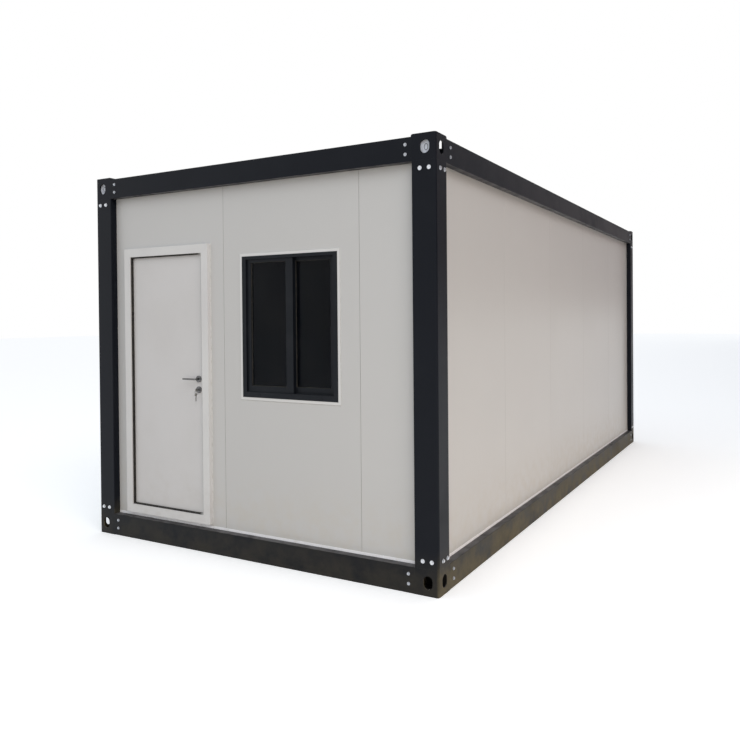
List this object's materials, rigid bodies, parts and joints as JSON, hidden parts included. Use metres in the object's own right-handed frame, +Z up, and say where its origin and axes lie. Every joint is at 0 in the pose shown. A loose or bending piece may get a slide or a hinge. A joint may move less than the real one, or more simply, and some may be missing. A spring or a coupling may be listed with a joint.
{
  "type": "shipping container cabin",
  "caption": "Portable cabin with a bolted steel frame, container corner castings, sandwich panel walls, an inward-opening door with a lever handle, and a sliding window.",
  "frame": {"origin": "on the ground under the middle of the cabin", "axes": "+Z up, +Y along the cabin's length from the door's end to the rear, +X towards the side with the window's end of the front wall, to the right for someone who faces the door from outside"},
  "size_m": [3, 5.95, 2.8],
  "materials": {
    "frame_paint": "satin dark graphite blue paint on rolled steel",
    "wall_paint": "smooth pale grey coil coating on sandwich panels",
    "ceiling_paint": "matt white coil coating",
    "roof_paint": "pale coil coating on ribbed sheet",
    "galvanised_steel": "galvanised, left bare",
    "floor_covering": "grey sheet covering over a board",
    "pipe_plastic": "pale plastic pipe",
    "door_frame_paint": "satin pale paint",
    "door_leaf_paint": "satin pale paint",
    "door_seal": "black rubber",
    "hinge_steel": "plated, satin",
    "handle_steel": "satin stainless",
    "key_metal": "nickel plated",
    "window_paint": "satin dark grey powder coat on aluminium",
    "window_glass": "clear float glass, dark from outside",
    "window_trim_paint": "satin pale paint"
  },
  "bodies": {
    "cabin": {"corner_post_front_left": "frame_paint", "top_casting_front_left": "frame_paint", "bottom_casting_front_left": "frame_paint", "corner_post_front_right": "frame_paint", "top_casting_front_right": "frame_paint", "bottom_casting_front_right": "frame_paint", "corner_post_rear_left": "frame_paint", "top_casting_rear_left": "frame_paint", "bottom_casting_rear_left": "frame_paint", "corner_post_rear_right": "frame_paint", "top_casting_rear_right": "frame_paint", "bottom_casting_rear_right": "frame_paint", "floor_beam_front": "frame_paint", "floor_beam_rear": "frame_paint", "floor_beam_left": "frame_paint", "floor_beam_right": "frame_paint", "roof_beam_front": "frame_paint", "roof_beam_rear": "frame_paint", "roof_beam_left": "frame_paint", "roof_beam_right": "frame_paint", "roof_sheet": "roof_paint", "roof_purlins": "galvanised_steel", "ceiling": "ceiling_paint", "floor_joists": "galvanised_steel", "floor_deck": "floor_covering", "front_wall_hinge_side": "wall_paint", "front_wall_lock_side": "wall_paint", "front_wall_over_door": "wall_paint", "front_wall_window_panel": "wall_paint", "front_wall_end_panel": "wall_paint", "rear_wall": "wall_paint", "left_wall": "wall_paint", "right_wall": "wall_paint", "wall_base_tracks": "galvanised_steel", "inner_corner_trims": "wall_paint", "rain_pipes": "pipe_plastic", "door_jamb_hinge_side": "door_frame_paint", "door_jamb_lock_side": "door_frame_paint", "door_head": "door_frame_paint", "strike_plate": "hinge_steel", "door_threshold": "door_frame_paint", "door_gasket": "door_seal", "hinge_jamb_halves": "hinge_steel", "window_frame": "window_paint", "window_sashes": "window_paint", "window_glass": "window_glass", "window_trims": "window_trim_paint"},
    "door": {"door_leaf": "door_leaf_paint", "hinge_leaf_halves": "hinge_steel", "lock_furniture": "handle_steel", "door_keys": "key_metal"},
    "lever": {"door_lever": "handle_steel"}
  },
  "joints": [
    {"name": "door_hinge", "type": "hinge", "parent": "cabin", "child": "door", "pos_m": [-1.165, -2.866, 1.214], "axis": [0, 0, 1], "range_deg": [0, 90]},
    {"name": "lever_turn", "type": "hinge", "parent": "door", "child": "lever", "pos_m": [-0.472, -2.9, 1.249], "axis": [0, -1, 0], "range_deg": [0, 45], "stiffness_Nm_per_rad": 1.5, "springref_deg": -11.46}
  ]
}
